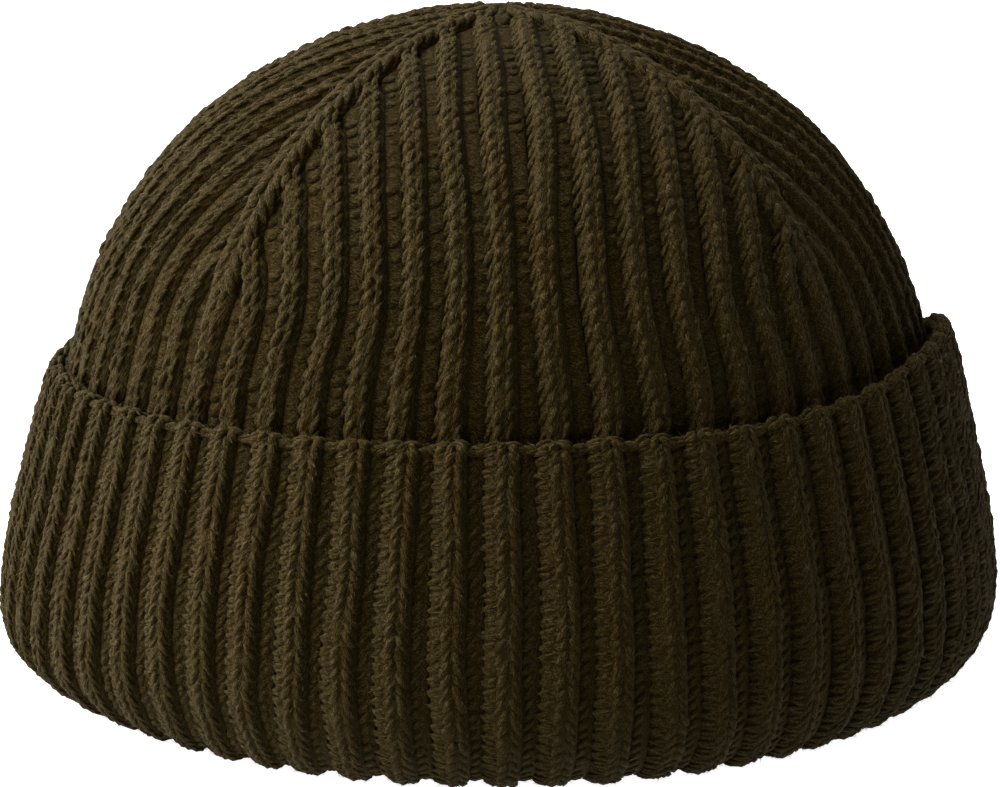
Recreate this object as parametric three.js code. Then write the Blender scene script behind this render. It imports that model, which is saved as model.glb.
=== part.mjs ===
// Knit hat: a short rounded cap in thick two-by-two rib knit, with one folded cuff.
// Units are millimetres and +Z is up. The hat rests on the fold at its rim, on z = 0.
// The front faces -Y. Azimuth is measured from the front, towards +X.
import * as THREE from 'three'

// Ribs
const RIBS = 60
const RIBS_IN_PANEL = 14
const RIB_TOP_SHARE = 0.56
const RIB_ANGLE = 2 * Math.PI / RIBS

// Crown
const CROWN_TURN = THREE.MathUtils.degToRad(2.5)
const CROWN_RADIUS = 86.2
const CROWN_WIDEST_Z = 49.65
const CROWN_RISE = 80.1
const CROWN_POWER = 1.96
const CROWN_BASE_Z = 6.0
const SKIRT_TOP_Z = 64
const CROWN_WALL = 5.0
const CROWN_RIB_DEPTH = 2.4
const APEX_RIB_DEPTH = 1.5
const SKIRT_RUNS = [0, 0.22, 0.5, 0.78]
const DOME_RUN_STEP = 0.08
const INNER_DOME_RUNS = [1, 1.14, 1.28, 1.42, 1.56, 1.7, 1.84]

// Shaping of the crown: ribs turn parallel above this height and end at four dart ribs
const TURN_START_Z = 70
const TURN_END_Z = 96
const PARALLEL_PITCH = 7.5
const DART_HALF_WIDTH = 2.6
const DART_TOP_HALF_WIDTH = 1.25

// Cuff
const CUFF_HEIGHT = 64.3
const CUFF_RIB_DEPTH = 2.4
const FOLD_CENTRE_R = 85.0
const FOLD_HALF_WIDTH = 14.2
const FOLD_HALF_HEIGHT = 18.5
const FOLD_WIDEST_Z = 17.9
const EDGE_INNER_R = 87.2
const INSIDE_LEVELS = [62.6, 54, 42, 30, 18, 12, 6]
const GAP = 0.3

// The lip under the crown's lower edge and the flat face that the hat rests on
const LIP = [
  // z, radius
  [5.7, 90.4],
  [5.7, 85.5],
  [3, 84.7],
  [0, 85.3],
]

// Outer radius of the crown below its dome, where it runs down inside the cuff
const CROWN_SKIRT = [
  // z, radius
  [6, 90.5],
  [12, 92.3],
  [18, 93.5],
  [30, 92.5],
  [42, 89.8],
  [56, 86.5],
  [64, 84.72],
]

// Outer radius of the cuff above the fold
const CUFF_OUTSIDE = [
  // z, radius
  [17.9, 99.2],
  [29.5, 98.2],
  [42, 95.4],
  [54, 92.4],
  [60.8, 90.4],
  [63.6, 88.9],
]

// Height of the cuff's edge around the hat
const CUFF_EDGE = [
  // azimuth in degrees, height
  [-180, 62.5],
  [-135, 61.5],
  [-104, 60.4],
  [-85, 60.9],
  [-45, 62.4],
  [0, 63.9],
  [30, 64.2],
  [45, 65.6],
  [55, 67.0],
  [64, 69.0],
  [74, 69.8],
  [86, 69.2],
  [94, 67.2],
  [101, 64.0],
  [115, 62.6],
  [145, 62.5],
  [180, 62.5],
]

// How far the crown swells out around the hat, and the share of that at each height
const CROWN_SWELL = [
  // azimuth in degrees, extra radius
  [-180, 0.3],
  [-90, 0.9],
  [-30, 0.2],
  [0, 0],
  [40, 0.8],
  [90, 1.3],
  [140, 0.7],
  [180, 0.3],
]
const SWELL_SHARE = [
  // z, share
  [60, 0],
  [76, 0.1],
  [88, 0.35],
  [99, 0.85],
  [109, 1.3],
  [119, 0.9],
  [129.7, 0],
]

// Rows of the cuff's outside, from the resting face up to the edge
const CUFF_ROWS = [
  // z, share of the rib depth, share of the fold's bulge
  [0, 0, 0],
  [2.2, 0.6, 0.6],
  [7.5, 1, 1],
  [17.9, 1, 0.45],
  [29.5, 1, 0.1],
  [44, 1, 0],
  [60.8, 1, 0],
  [63.6, 0.5, 0],
]

// How far the crown's ribs lie from an even spread around the hat
const CROWN_RIB_SHIFT = [
  // azimuth in degrees, shift in degrees
  [-180, 0],
  [-90, 0.4],
  [-42, 0.45],
  [-20, 0.2],
  [-8, 0.1],
  [-2, 0.4],
  [6, 1.2],
  [15, 2.1],
  [25, 2.5],
  [36, 2.5],
  [44, 2.2],
  [55, 1.6],
  [90, 0.8],
  [180, 0],
]

// How far the cuff's ribs lie from an even spread around the hat
const CUFF_RIB_SHIFT = [
  // azimuth in degrees, shift in degrees
  [-180, 0],
  [-90, 3.6],
  [-50, 2.3],
  [-27, 1.4],
  [-10, 0.75],
  [0, 0.4],
  [14, 0.3],
  [23, 0.05],
  [33, -0.5],
  [43, -1.3],
  [56, -2.4],
  [65, -3.1],
  [90, -4],
  [180, 0],
]

// How far the fold bulges out or draws in around the hat
const FOLD_BULGE = [
  // azimuth in degrees, extra radius
  [-180, 0],
  [-120, 0.8],
  [-78, 2.6],
  [-58, 1.4],
  [-36, -1.9],
  [-12, -0.5],
  [15, 0.2],
  [45, -0.8],
  [72, 0.6],
  [92, 1.7],
  [125, 0.8],
  [180, 0],
]

// Smooth value of a two-column table at x
function tableAt(table, x) {
  if (x <= table[0][0]) return table[0][1]
  const last = table[table.length - 1]
  if (x >= last[0]) return last[1]
  let i = 0
  while (x > table[i + 1][0]) i += 1
  const slope = (j) => {
    const a = table[Math.max(j - 1, 0)]
    const b = table[Math.min(j + 1, table.length - 1)]
    return (b[1] - a[1]) / (b[0] - a[0])
  }
  const [x0, y0] = table[i]
  const [x1, y1] = table[i + 1]
  const h = x1 - x0
  const t = (x - x0) / h
  const curve = (2 * t ** 3 - 3 * t ** 2 + 1) * y0 + (3 * t ** 2 - 2 * t ** 3) * y1
  return curve + h * ((t ** 3 - 2 * t ** 2 + t) * slope(i) + (t ** 3 - t ** 2) * slope(i + 1))
}

function smoothStep(a, b, x) {
  const t = Math.min(Math.max((x - a) / (b - a), 0), 1)
  return t * t * (3 - 2 * t)
}

function aroundTable(table, azimuth) {
  const degrees = THREE.MathUtils.radToDeg(azimuth)
  const wrapped = ((degrees + 180) % 360 + 360) % 360 - 180
  return tableAt(table, wrapped)
}

function crownSwell(azimuth, z) {
  return aroundTable(CROWN_SWELL, azimuth) * tableAt(SWELL_SHARE, z)
}

// A closed body built from shared corner points
class Body {
  constructor() {
    this.points = []
    this.faces = []
  }

  add(radius, azimuth, z) {
    this.points.push(radius * Math.sin(azimuth), -radius * Math.cos(azimuth), z)
    return this.points.length / 3 - 1
  }

  distance(a, b) {
    const p = this.points
    return Math.hypot(p[3 * a] - p[3 * b], p[3 * a + 1] - p[3 * b + 1], p[3 * a + 2] - p[3 * b + 2])
  }

  // Fills the strip between two lines of points, the left one first, both going up
  strip(left, right) {
    let i = 0
    let j = 0
    while (i < left.length - 1 || j < right.length - 1) {
      const canLeft = i < left.length - 1
      const canRight = j < right.length - 1
      const leftCost = canLeft ? this.distance(left[i + 1], right[j]) : Infinity
      const rightCost = canRight ? this.distance(left[i], right[j + 1]) : Infinity
      if (leftCost <= rightCost) {
        if (left[i + 1] !== right[j]) this.faces.push(left[i], right[j], left[i + 1])
        i += 1
      } else {
        if (left[i] !== right[j + 1]) this.faces.push(left[i], right[j], right[j + 1])
        j += 1
      }
    }
  }

  geometry() {
    const geometry = new THREE.BufferGeometry()
    geometry.setAttribute('position', new THREE.Float32BufferAttribute(this.points, 3))
    geometry.setIndex(this.faces)
    geometry.computeVertexNormals()
    return geometry
  }
}

// Crown surface through the tops of the ribs.
// The run is 0 at the lower edge, 1 where the dome starts and 2 at the top.
function crownOutside(run) {
  if (run <= 1) {
    const z = CROWN_BASE_Z + run * (SKIRT_TOP_Z - CROWN_BASE_Z)
    return { r: tableAt(CROWN_SKIRT, z), z }
  }
  const start = Math.asin(((SKIRT_TOP_Z - CROWN_WIDEST_Z) / CROWN_RISE) ** (CROWN_POWER / 2))
  const angle = start + (run - 1) * (Math.PI / 2 - start)
  const r = CROWN_RADIUS * Math.max(Math.cos(angle), 0) ** (2 / CROWN_POWER)
  return { r, z: CROWN_WIDEST_Z + CROWN_RISE * Math.sin(angle) ** (2 / CROWN_POWER) }
}

// The same surface moved inwards by a depth, square to it
function crownInset(run, depth) {
  const step = 0.004
  const a = crownOutside(Math.max(run - step, 0))
  const b = crownOutside(Math.min(run + step, 2))
  const here = crownOutside(run)
  const length = Math.hypot(b.r - a.r, b.z - a.z)
  const r = here.r - depth * (b.z - a.z) / length
  const z = run === 0 ? here.z : here.z + depth * (b.r - a.r) / length
  return { r: Math.max(r, 0), z }
}

function ribDepth(z) {
  return CROWN_RIB_DEPTH + (APEX_RIB_DEPTH - CROWN_RIB_DEPTH) * smoothStep(85, 125, z)
}

// Azimuth inside a panel of the line that is so many ribs from the panel's middle
function panelAzimuth(ribs, r, z) {
  const even = ribs * RIB_ANGLE
  const parallel = Math.asin(Math.min(ribs * PARALLEL_PITCH / Math.max(r, 1e-6), 1))
  return even + (parallel - even) * smoothStep(TURN_START_Z, TURN_END_Z, z)
}

function dartLimit(r) {
  return Math.PI / 4 - Math.asin(Math.min(DART_HALF_WIDTH / Math.max(r, DART_HALF_WIDTH), 0.7071))
}

// The run at which a line meets the edge of the dart rib
function dartRun(ribs) {
  let low = 1.05
  let high = 2
  for (let i = 0; i < 50; i += 1) {
    const middle = (low + high) / 2
    const { r, z } = crownOutside(middle)
    if (panelAzimuth(ribs, r, z) < dartLimit(r)) low = middle
    else high = middle
  }
  return low
}

// Rows of a line: levels that all lines share, then the line's own end
function lineRuns(end) {
  const runs = [...SKIRT_RUNS]
  for (let run = 1; run < end - 0.4 * DOME_RUN_STEP; run += DOME_RUN_STEP) runs.push(run)
  runs.push(end)
  return runs
}

function buildCrown() {
  const body = new Body()
  const addSwollen = (r, even, z) => {
    const azimuth = even + THREE.MathUtils.degToRad(aroundTable(CROWN_RIB_SHIFT, even))
    return body.add(r > 0 ? r + crownSwell(azimuth, z) : 0, azimuth, z)
  }
  const lift = RIB_TOP_SHARE / 2
  const half = RIBS_IN_PANEL / 2
  const panels = []
  for (let p = 0; p < 4; p += 1) {
    const turn = CROWN_TURN + p * Math.PI / 2
    const lines = []
    for (let rib = -half; rib <= half; rib += 1) {
      const offsets = rib < half ? [0, 0.5 - lift, 0.5 + lift] : [0]
      for (const offset of offsets) {
        const ribs = rib + offset
        const side = Math.sign(ribs)
        const end = ribs === 0 ? dartRun(0.001) : dartRun(Math.abs(ribs))
        lines.push(lineRuns(end).map((run) => {
          const { r, z } = crownOutside(run)
          const at = crownInset(run, offset === 0 ? ribDepth(z) : 0)
          const azimuth = Math.min(panelAzimuth(Math.abs(ribs), r, z), dartLimit(r))
          return addSwollen(at.r, turn + side * azimuth, at.z)
        }))
      }
    }
    panels.push(lines)
  }

  // Dart ribs run up the four diagonals and meet at the top
  const darts = []
  const topRun = dartRun(0.001)
  for (let p = 0; p < 4; p += 1) {
    const middle = CROWN_TURN + (p + 0.5) * Math.PI / 2
    darts.push([-1, 1].map((side) => lineRuns(topRun).map((run) => {
      const { r, z } = crownOutside(run)
      const wide = r * lift * RIB_ANGLE
      const width = wide + (DART_TOP_HALF_WIDTH - wide) * smoothStep(TURN_START_Z, TURN_END_Z, z)
      return addSwollen(r, middle + side * Math.asin(Math.min(width / r, 0.5)), z)
    })))
  }

  const apexDepth = ribDepth(CROWN_WIDEST_Z + CROWN_RISE)
  const apex = body.add(0, 0, CROWN_WIDEST_Z + CROWN_RISE - apexDepth)
  const outerRing = []
  for (let p = 0; p < 4; p += 1) {
    const lines = panels[p]
    const next = panels[(p + 1) % 4]
    const centre = (lines.length - 1) / 2
    const nextCentre = (next.length - 1) / 2
    for (let i = 0; i < lines.length - 1; i += 1) body.strip(lines[i], lines[i + 1])
    const leftEdge = [...lines[lines.length - 1]]
    for (let i = lines.length - 2; i >= centre; i -= 1) leftEdge.push(lines[i][lines[i].length - 1])
    const rightEdge = [...next[0]]
    for (let i = 1; i <= nextCentre; i += 1) rightEdge.push(next[i][next[i].length - 1])
    const [dartLeft, dartRight] = darts[p]
    body.strip(leftEdge, dartLeft)
    body.strip(dartLeft, dartRight)
    body.strip(dartRight, rightEdge)
    const ends = [leftEdge, dartLeft, dartRight, rightEdge].map((line) => line[line.length - 1])
    for (let i = 0; i < 3; i += 1) body.faces.push(ends[i], ends[i + 1], apex)
    outerRing.push(...lines.map((line) => line[0]), dartLeft[0], dartRight[0])
  }

  // Smooth inside of the wall
  const innerRuns = [...SKIRT_RUNS, ...INNER_DOME_RUNS]
  const firstAzimuth = CROWN_TURN - half * RIB_ANGLE
  const rings = innerRuns.map((run) => {
    const { r, z } = crownInset(run, CROWN_WALL)
    return Array.from({ length: RIBS }, (_, i) => addSwollen(r, firstAzimuth + i * RIB_ANGLE, z))
  })
  const innerTop = body.add(0, 0, CROWN_WIDEST_Z + CROWN_RISE - CROWN_WALL)
  for (let k = 0; k < rings.length - 1; k += 1) {
    for (let i = 0; i < RIBS; i += 1) {
      const j = (i + 1) % RIBS
      body.strip([rings[k][j], rings[k + 1][j]], [rings[k][i], rings[k + 1][i]])
    }
  }
  for (let i = 0; i < RIBS; i += 1) {
    const j = (i + 1) % RIBS
    const lastRing = rings[rings.length - 1]
    body.faces.push(lastRing[j], lastRing[i], innerTop)
    const outer = [0, 1, 2, 3].map((step) => outerRing[(3 * i + step) % outerRing.length])
    body.strip(outer, [rings[0][i], rings[0][j]])
  }
  return body.geometry()
}

// Azimuth of a line on the cuff that is so many ribs from the front
function cuffAzimuth(ribs) {
  const even = ribs * RIB_ANGLE
  return even + THREE.MathUtils.degToRad(aroundTable(CUFF_RIB_SHIFT, even))
}

// Cuff heights stretch towards the edge, so that it rises and falls around the hat
function cuffHeight(z, azimuth) {
  return z * (1 + (aroundTable(CUFF_EDGE, azimuth) / CUFF_HEIGHT - 1) * z / CUFF_HEIGHT)
}

// Outer radius of the cuff: an ellipse round the fold, then the table up to the edge
function cuffOutside(z) {
  if (z >= FOLD_WIDEST_Z) return tableAt(CUFF_OUTSIDE, z)
  return FOLD_CENTRE_R + FOLD_HALF_WIDTH * Math.sqrt(1 - ((FOLD_WIDEST_Z - z) / FOLD_HALF_HEIGHT) ** 2)
}

function crownRadiusAt(z) {
  if (z <= SKIRT_TOP_Z) return tableAt(CROWN_SKIRT, z)
  return CROWN_RADIUS * (1 - ((z - CROWN_WIDEST_Z) / CROWN_RISE) ** CROWN_POWER) ** (1 / CROWN_POWER)
}

function buildCuff() {
  const body = new Body()
  const lift = RIB_TOP_SHARE / 2

  const lines = []
  for (let rib = 0; rib < RIBS; rib += 1) {
    for (const offset of [0, 0.5 - lift, 0.5 + lift]) {
      const azimuth = cuffAzimuth(rib - 0.5 + offset)
      const bulge = aroundTable(FOLD_BULGE, azimuth)
      lines.push(CUFF_ROWS.map(([z, depthShare, bulgeShare]) => {
        const drop = offset === 0 ? CUFF_RIB_DEPTH * depthShare : 0
        return body.add(cuffOutside(z) - drop + bulgeShare * bulge, azimuth, cuffHeight(z, azimuth))
      }))
    }
  }
  lines.forEach((line, i) => body.strip(line, lines[(i + 1) % lines.length]))

  // Rows of the inside, from the edge down to the lip under the crown and the resting face
  const inside = (azimuth) => {
    const rows = INSIDE_LEVELS.map((level) => {
      const z = cuffHeight(level, azimuth)
      return [z, crownRadiusAt(z) + crownSwell(azimuth, z) + GAP]
    })
    return [[cuffHeight(CUFF_HEIGHT, azimuth), EDGE_INNER_R], ...rows, ...LIP]
  }
  const innerLines = []
  for (let rib = 0; rib < RIBS; rib += 1) {
    const azimuth = cuffAzimuth(rib - 0.5)
    innerLines.push(inside(azimuth).map(([z, r]) => body.add(r, azimuth, z)))
  }
  innerLines.forEach((line, i) => body.strip(line, innerLines[(i + 1) % RIBS]))

  // Top of the edge and the flat resting face
  for (let i = 0; i < RIBS; i += 1) {
    const j = (i + 1) % RIBS
    const group = [0, 1, 2, 3].map((step) => lines[(3 * i + step) % lines.length])
    const top = group.map((line) => line[line.length - 1])
    const bottom = group.map((line) => line[0])
    body.strip([innerLines[i][0], innerLines[j][0]], top)
    body.strip(bottom, [innerLines[i][innerLines[i].length - 1], innerLines[j][innerLines[j].length - 1]])
  }
  return body.geometry()
}

// The hat
const group = new THREE.Group()
group.name = 'knit_hat'

function addPiece(name, geometry, colour) {
  const material = new THREE.MeshStandardMaterial({ color: colour, roughness: 0.95, metalness: 0 })
  const mesh = new THREE.Mesh(geometry, material)
  mesh.name = name
  group.add(mesh)
}

addPiece('crown', buildCrown(), '#463a22')
addPiece('cuff', buildCuff(), '#4a3e25')

export default group
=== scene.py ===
import math

import bpy
import numpy as np
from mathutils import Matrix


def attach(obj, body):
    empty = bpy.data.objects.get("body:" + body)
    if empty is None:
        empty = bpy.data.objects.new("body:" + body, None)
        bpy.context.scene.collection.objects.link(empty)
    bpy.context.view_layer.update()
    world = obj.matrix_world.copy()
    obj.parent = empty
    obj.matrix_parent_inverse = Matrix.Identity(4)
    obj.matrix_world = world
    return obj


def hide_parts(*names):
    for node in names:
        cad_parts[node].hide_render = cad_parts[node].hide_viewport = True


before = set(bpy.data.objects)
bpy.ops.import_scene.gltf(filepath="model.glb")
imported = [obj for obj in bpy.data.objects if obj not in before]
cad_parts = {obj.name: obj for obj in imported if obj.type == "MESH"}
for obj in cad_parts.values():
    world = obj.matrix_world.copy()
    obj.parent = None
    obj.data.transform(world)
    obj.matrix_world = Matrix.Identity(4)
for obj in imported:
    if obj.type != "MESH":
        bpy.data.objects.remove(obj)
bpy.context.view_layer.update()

# The hat's lengths are in millimetres until a mesh is made. Those of the floor and the camera are in metres.
# The front of the hat faces -Y.
MM = 0.001
IMAGE_WIDTH = 1000
SEED = 20261
# Least value that anything is divided by
TINY = 1e-9

# Sizes of crown and cuff, the same as in the solids
RIBS = 60
RIB_ANGLE = 2 * math.pi / RIBS
HALF_PANEL = 7
CROWN_TURN = math.radians(2.5)
CROWN_RADIUS = 86.2
CROWN_WIDEST_Z = 49.65
CROWN_RISE = 80.1
CROWN_POWER = 1.96
CROWN_BASE_Z = 6.0
SKIRT_TOP_Z = 64.0
CROWN_WALL = 5.0
TURN_START_Z = 70.0
TURN_END_Z = 96.0
PARALLEL_PITCH = 7.5
DART_HALF_WIDTH = 2.6
# How far a panel reaches under the edge of its dart rib
PANEL_TUCK = 0.4
# Sine of an eighth of a turn, at which the dart ribs would take up the whole crown
EIGHTH_TURN_SINE = 0.7071
CUFF_HEIGHT = 64.3
FOLD_CENTRE_R = 85.0
FOLD_HALF_WIDTH = 14.2
FOLD_HALF_HEIGHT = 18.5
FOLD_WIDEST_Z = 17.9

# z and radius of the crown's outside below its dome
CROWN_SKIRT = np.array([(6, 90.5), (12, 92.3), (18, 93.5), (30, 92.5), (42, 89.8), (56, 86.5), (64, 84.72)])
# z and radius of the cuff's outside above the fold, up to where its edge turns over
CUFF_OUTSIDE = np.array([(17.9, 99.2), (29.5, 98.2), (42, 95.4), (54, 92.4), (61.4, 90.2)])
# azimuth in degrees and height of the cuff's edge
CUFF_EDGE = np.array(
    [
        (-180, 62.5), (-135, 61.5), (-104, 60.4), (-85, 60.9), (-45, 62.4), (0, 63.9),
        (30, 64.2), (45, 65.6), (55, 67.0), (64, 69.0), (74, 69.8), (86, 69.2),
        (94, 67.2), (101, 64.0), (115, 62.6), (145, 62.5), (180, 62.5),
    ]
)
# azimuth in degrees and how far the crown's ribs lie from an even spread there, in degrees
CROWN_RIB_SHIFT = np.array(
    [
        (-180, 0), (-90, 0.4), (-42, 0.45), (-20, 0.2), (-8, 0.1), (-2, 0.4), (6, 1.2),
        (15, 2.1), (25, 2.5), (36, 2.5), (44, 2.2), (55, 1.6), (90, 0.8), (180, 0),
    ]
)
# azimuth in degrees and how far the cuff's ribs lie from an even spread there, in degrees
CUFF_RIB_SHIFT = np.array(
    [
        (-180, 0), (-90, 3.6), (-50, 2.3), (-27, 1.4), (-10, 0.75), (0, 0.4), (14, 0.3),
        (23, 0.05), (33, -0.5), (43, -1.3), (56, -2.4), (65, -3.1), (90, -4), (180, 0),
    ]
)
# azimuth in degrees and extra radius of the fold
FOLD_BULGE = np.array(
    [
        (-180, 0), (-120, 0.8), (-78, 2.6), (-58, 1.4), (-36, -1.9), (-12, -0.5),
        (15, 0.2), (45, -0.8), (72, 0.6), (92, 1.7), (125, 0.8), (180, 0),
    ]
)
# azimuth in degrees and how far the crown swells there
CROWN_SWELL = np.array(
    [(-180, 0.3), (-90, 0.9), (-30, 0.2), (0, 0), (40, 0.8), (90, 1.3), (140, 0.7), (180, 0.3)]
)
# z and the share of the crown's swell there
SWELL_SHARE = np.array(
    [(60, 0), (76, 0.1), (88, 0.35), (99, 0.85), (109, 1.3), (119, 0.9), (129.7, 0)]
)
# z and the share of the fold's bulge there
BULGE_SHARE = np.array([(0, 0), (2.2, 0.6), (7.5, 1), (17.9, 0.45), (29.5, 0.1), (44, 0)])


def table_at(table, x):
    """Smooth value of a two-column table at x."""
    x = np.clip(np.asarray(x, float), table[0, 0], table[-1, 0])
    i = np.clip(np.searchsorted(table[:, 0], x, side="right") - 1, 0, len(table) - 2)
    before = np.maximum(np.arange(len(table)) - 1, 0)
    after = np.minimum(np.arange(len(table)) + 1, len(table) - 1)
    slope = (table[after, 1] - table[before, 1]) / (table[after, 0] - table[before, 0])
    h = table[i + 1, 0] - table[i, 0]
    t = (x - table[i, 0]) / h
    value = (2 * t**3 - 3 * t**2 + 1) * table[i, 1] + (3 * t**2 - 2 * t**3) * table[i + 1, 1]
    return value + h * ((t**3 - 2 * t**2 + t) * slope[i] + (t**3 - t**2) * slope[i + 1])


def around_table(table, azimuth):
    """Smooth value of a table with a column of degrees round the hat, at an azimuth in radians."""
    return table_at(table, (np.degrees(azimuth) + 180) % 360 - 180)


def smooth_step(a, b, x):
    """Smooth rise from 0 where x is a to 1 where x is b."""
    t = np.clip((x - a) / (b - a), 0, 1)
    return t * t * (3 - 2 * t)


def unit(v):
    return v / np.maximum(np.linalg.norm(v, axis=-1, keepdims=True), TINY)


def profile_normals(r, z):
    """Outward normals of a curve that goes up the outside, as (radial, vertical)."""
    dr = np.gradient(r)
    dz = np.gradient(z)
    length = np.maximum(np.hypot(dr, dz), TINY)
    return dz / length, -dr / length


# Crown surface through the tops of the ribs
# The run is 0 at the lower edge, 1 where the dome starts and 2 at the top
RUNS = np.linspace(0, 2, 4001)
dome_start = math.asin(((SKIRT_TOP_Z - CROWN_WIDEST_Z) / CROWN_RISE) ** (CROWN_POWER / 2))
dome_angle = dome_start + np.clip(RUNS - 1, 0, 1) * (math.pi / 2 - dome_start)
skirt_z = CROWN_BASE_Z + np.clip(RUNS, 0, 1) * (SKIRT_TOP_Z - CROWN_BASE_Z)
CROWN_R = np.where(
    RUNS <= 1,
    table_at(CROWN_SKIRT, skirt_z),
    CROWN_RADIUS * np.maximum(np.cos(dome_angle), 0) ** (2 / CROWN_POWER),
)
CROWN_Z = np.where(
    RUNS <= 1,
    skirt_z,
    CROWN_WIDEST_Z + CROWN_RISE * np.sin(dome_angle) ** (2 / CROWN_POWER),
)
CROWN_NR, CROWN_NZ = profile_normals(CROWN_R, CROWN_Z)


def crown_profile(run):
    """Radius and height of the crown's outside, then its outward normal as (radial, vertical)."""
    return [np.interp(run, RUNS, values) for values in (CROWN_R, CROWN_Z, CROWN_NR, CROWN_NZ)]


def crown_azimuth(ribs, r, z):
    """Azimuth inside a panel of the line that is so many ribs from its middle."""
    size = np.abs(ribs)
    even = size * RIB_ANGLE
    parallel = np.arcsin(np.clip(size * PARALLEL_PITCH / np.maximum(r, 1e-6), 0, 1))
    azimuth = even + (parallel - even) * smooth_step(TURN_START_Z, TURN_END_Z, z)
    return np.sign(ribs) * azimuth


def crown_shifted(azimuth):
    """Azimuth of a line of the crown, from the one that it has where the ribs are evenly spread."""
    return azimuth + np.radians(around_table(CROWN_RIB_SHIFT, azimuth))


def crown_swell(azimuth, z):
    """Extra radius of the crown, which is not quite round near its top."""
    return around_table(CROWN_SWELL, azimuth) * table_at(SWELL_SHARE, z)


def dart_limit(r):
    """Azimuth from a panel's middle at which the panel ends and its dart rib starts."""
    sine = np.clip(DART_HALF_WIDTH / np.maximum(r, DART_HALF_WIDTH), 0, EIGHTH_TURN_SINE)
    return math.pi / 4 - np.arcsin(sine)


def crown_panel_point(turn, ribs, run, height):
    """Points and normals of a panel, so many ribs from its middle and so high over the ribs' tops."""
    r, z, nr, nz = crown_profile(run)
    limit = dart_limit(r) + PANEL_TUCK / np.maximum(r, 1)
    azimuth = crown_shifted(turn + np.clip(crown_azimuth(ribs, r, z), -limit, limit))
    return revolve(r + crown_swell(azimuth, z), z, nr, nz, azimuth, height + CROWN_LIFT)


def revolve(r, z, nr, nz, azimuth, height):
    """Points and normals at an azimuth, so high over a profile point with its (radial, vertical) normal."""
    out = np.stack([np.sin(azimuth), -np.cos(azimuth), np.zeros_like(azimuth)], -1)
    up = np.array([0.0, 0.0, 1.0])
    normal = unit(out * nr[..., None] + up * nz[..., None])
    point = out * r[..., None] + up * z[..., None]
    return point + normal * np.asarray(height)[..., None], normal


def crown_dart_point(turn, across, run, height):
    """Points and normals of a dart rib, so many millimetres from its middle line."""
    r, z, nr, nz = crown_profile(run)
    azimuth = crown_shifted(turn + np.arcsin(np.clip(across / np.maximum(r, 1e-6), -0.7, 0.7)))
    return revolve(r + crown_swell(azimuth, z), z, nr, nz, azimuth, height + CROWN_LIFT)


def fold_radius(z):
    """Radius of the fold's outside, below its widest height."""
    return FOLD_CENTRE_R + FOLD_HALF_WIDTH * np.sqrt(1 - ((FOLD_WIDEST_Z - z) / FOLD_HALF_HEIGHT) ** 2)


# Cuff surface: its profile starts inside the fold, goes under it and up the outside to the edge
fold_z = FOLD_WIDEST_Z * (1 - np.cos(np.linspace(0, math.pi / 2, 40)))
wall_z = np.linspace(FOLD_WIDEST_Z, CUFF_OUTSIDE[-1, 0], 60)[1:]
# r and z of the inner end of the fold, then of the edge's rounded top
FOLD_INSIDE = np.array([(84.9, 4.0), (84.95, 2.0), (85.5, 0.6), (86.7, 0.0)])
EDGE_TOP = np.array(
    [(89.6, 62.9), (88.6, 63.9), (87.4, 64.3), (86.3, 63.9), (85.6, 62.9), (85.4, 60.5), (85.5, 57.5)]
)
outside_r = np.concatenate([fold_radius(fold_z), table_at(CUFF_OUTSIDE, wall_z)])
profile_r = np.concatenate([FOLD_INSIDE[:, 0], outside_r, EDGE_TOP[:, 0]])
profile_z = np.concatenate([FOLD_INSIDE[:, 1], fold_z, wall_z, EDGE_TOP[:, 1]])
profile_s = np.concatenate([[0], np.cumsum(np.hypot(np.diff(profile_r), np.diff(profile_z)))])
CUFF_S = np.linspace(0, profile_s[-1], 1200)
CUFF_R = np.interp(CUFF_S, profile_s, profile_r)
CUFF_Z = np.interp(CUFF_S, profile_s, profile_z)
# Normals are smoothed over this many points to each side, because the profile has slight bends
SMOOTHING = 12
window = np.hanning(2 * SMOOTHING + 1)
window = window / window.sum()
nr_raw, nz_raw = profile_normals(CUFF_R, CUFF_Z)
CUFF_NR = np.convolve(np.pad(nr_raw, SMOOTHING, mode="edge"), window, "valid")
CUFF_NZ = np.convolve(np.pad(nz_raw, SMOOTHING, mode="edge"), window, "valid")
CUFF_LENGTH = CUFF_S[-1]
# Length along the profile at the highest point of the edge
CUFF_TOP_S = CUFF_S[np.argmax(CUFF_Z)]
# The fold's bulge sets in between these radii, so that the inside of the cuff stays clear of the crown
BULGE_START_R = 86
BULGE_FULL_R = 92


def cuff_azimuth(ribs):
    """Azimuth of a line that is so many ribs from the front."""
    even = ribs * RIB_ANGLE
    return even + np.radians(around_table(CUFF_RIB_SHIFT, even))


def cuff_height(z, azimuth):
    """Height on the hat of a height on the profile, which follows the wavy edge of the cuff."""
    return z * (1 + (around_table(CUFF_EDGE, azimuth) / CUFF_HEIGHT - 1) * z / CUFF_HEIGHT)


def cuff_relief(s):
    """Share of the ribs' relief that is left at a length along the profile."""
    return 1 - FOLD_FLATTENING * (1 - smooth_step(FOLD_FLAT_S, FOLD_FULL_S, s))


def cuff_point(ribs, s, height):
    """Points and normals of the cuff, at a length along its profile and so high over its surface."""
    azimuth = cuff_azimuth(ribs)
    r = np.interp(s, CUFF_S, CUFF_R)
    z = np.interp(s, CUFF_S, CUFF_Z)
    nr = np.interp(s, CUFF_S, CUFF_NR)
    nz = np.interp(s, CUFF_S, CUFF_NZ)
    bulge = around_table(FOLD_BULGE, azimuth) * np.interp(z, BULGE_SHARE[:, 0], BULGE_SHARE[:, 1])
    r = r + bulge * smooth_step(BULGE_START_R, BULGE_FULL_R, r)
    return revolve(r, cuff_height(z, azimuth), nr, nz, azimuth, height)


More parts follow.
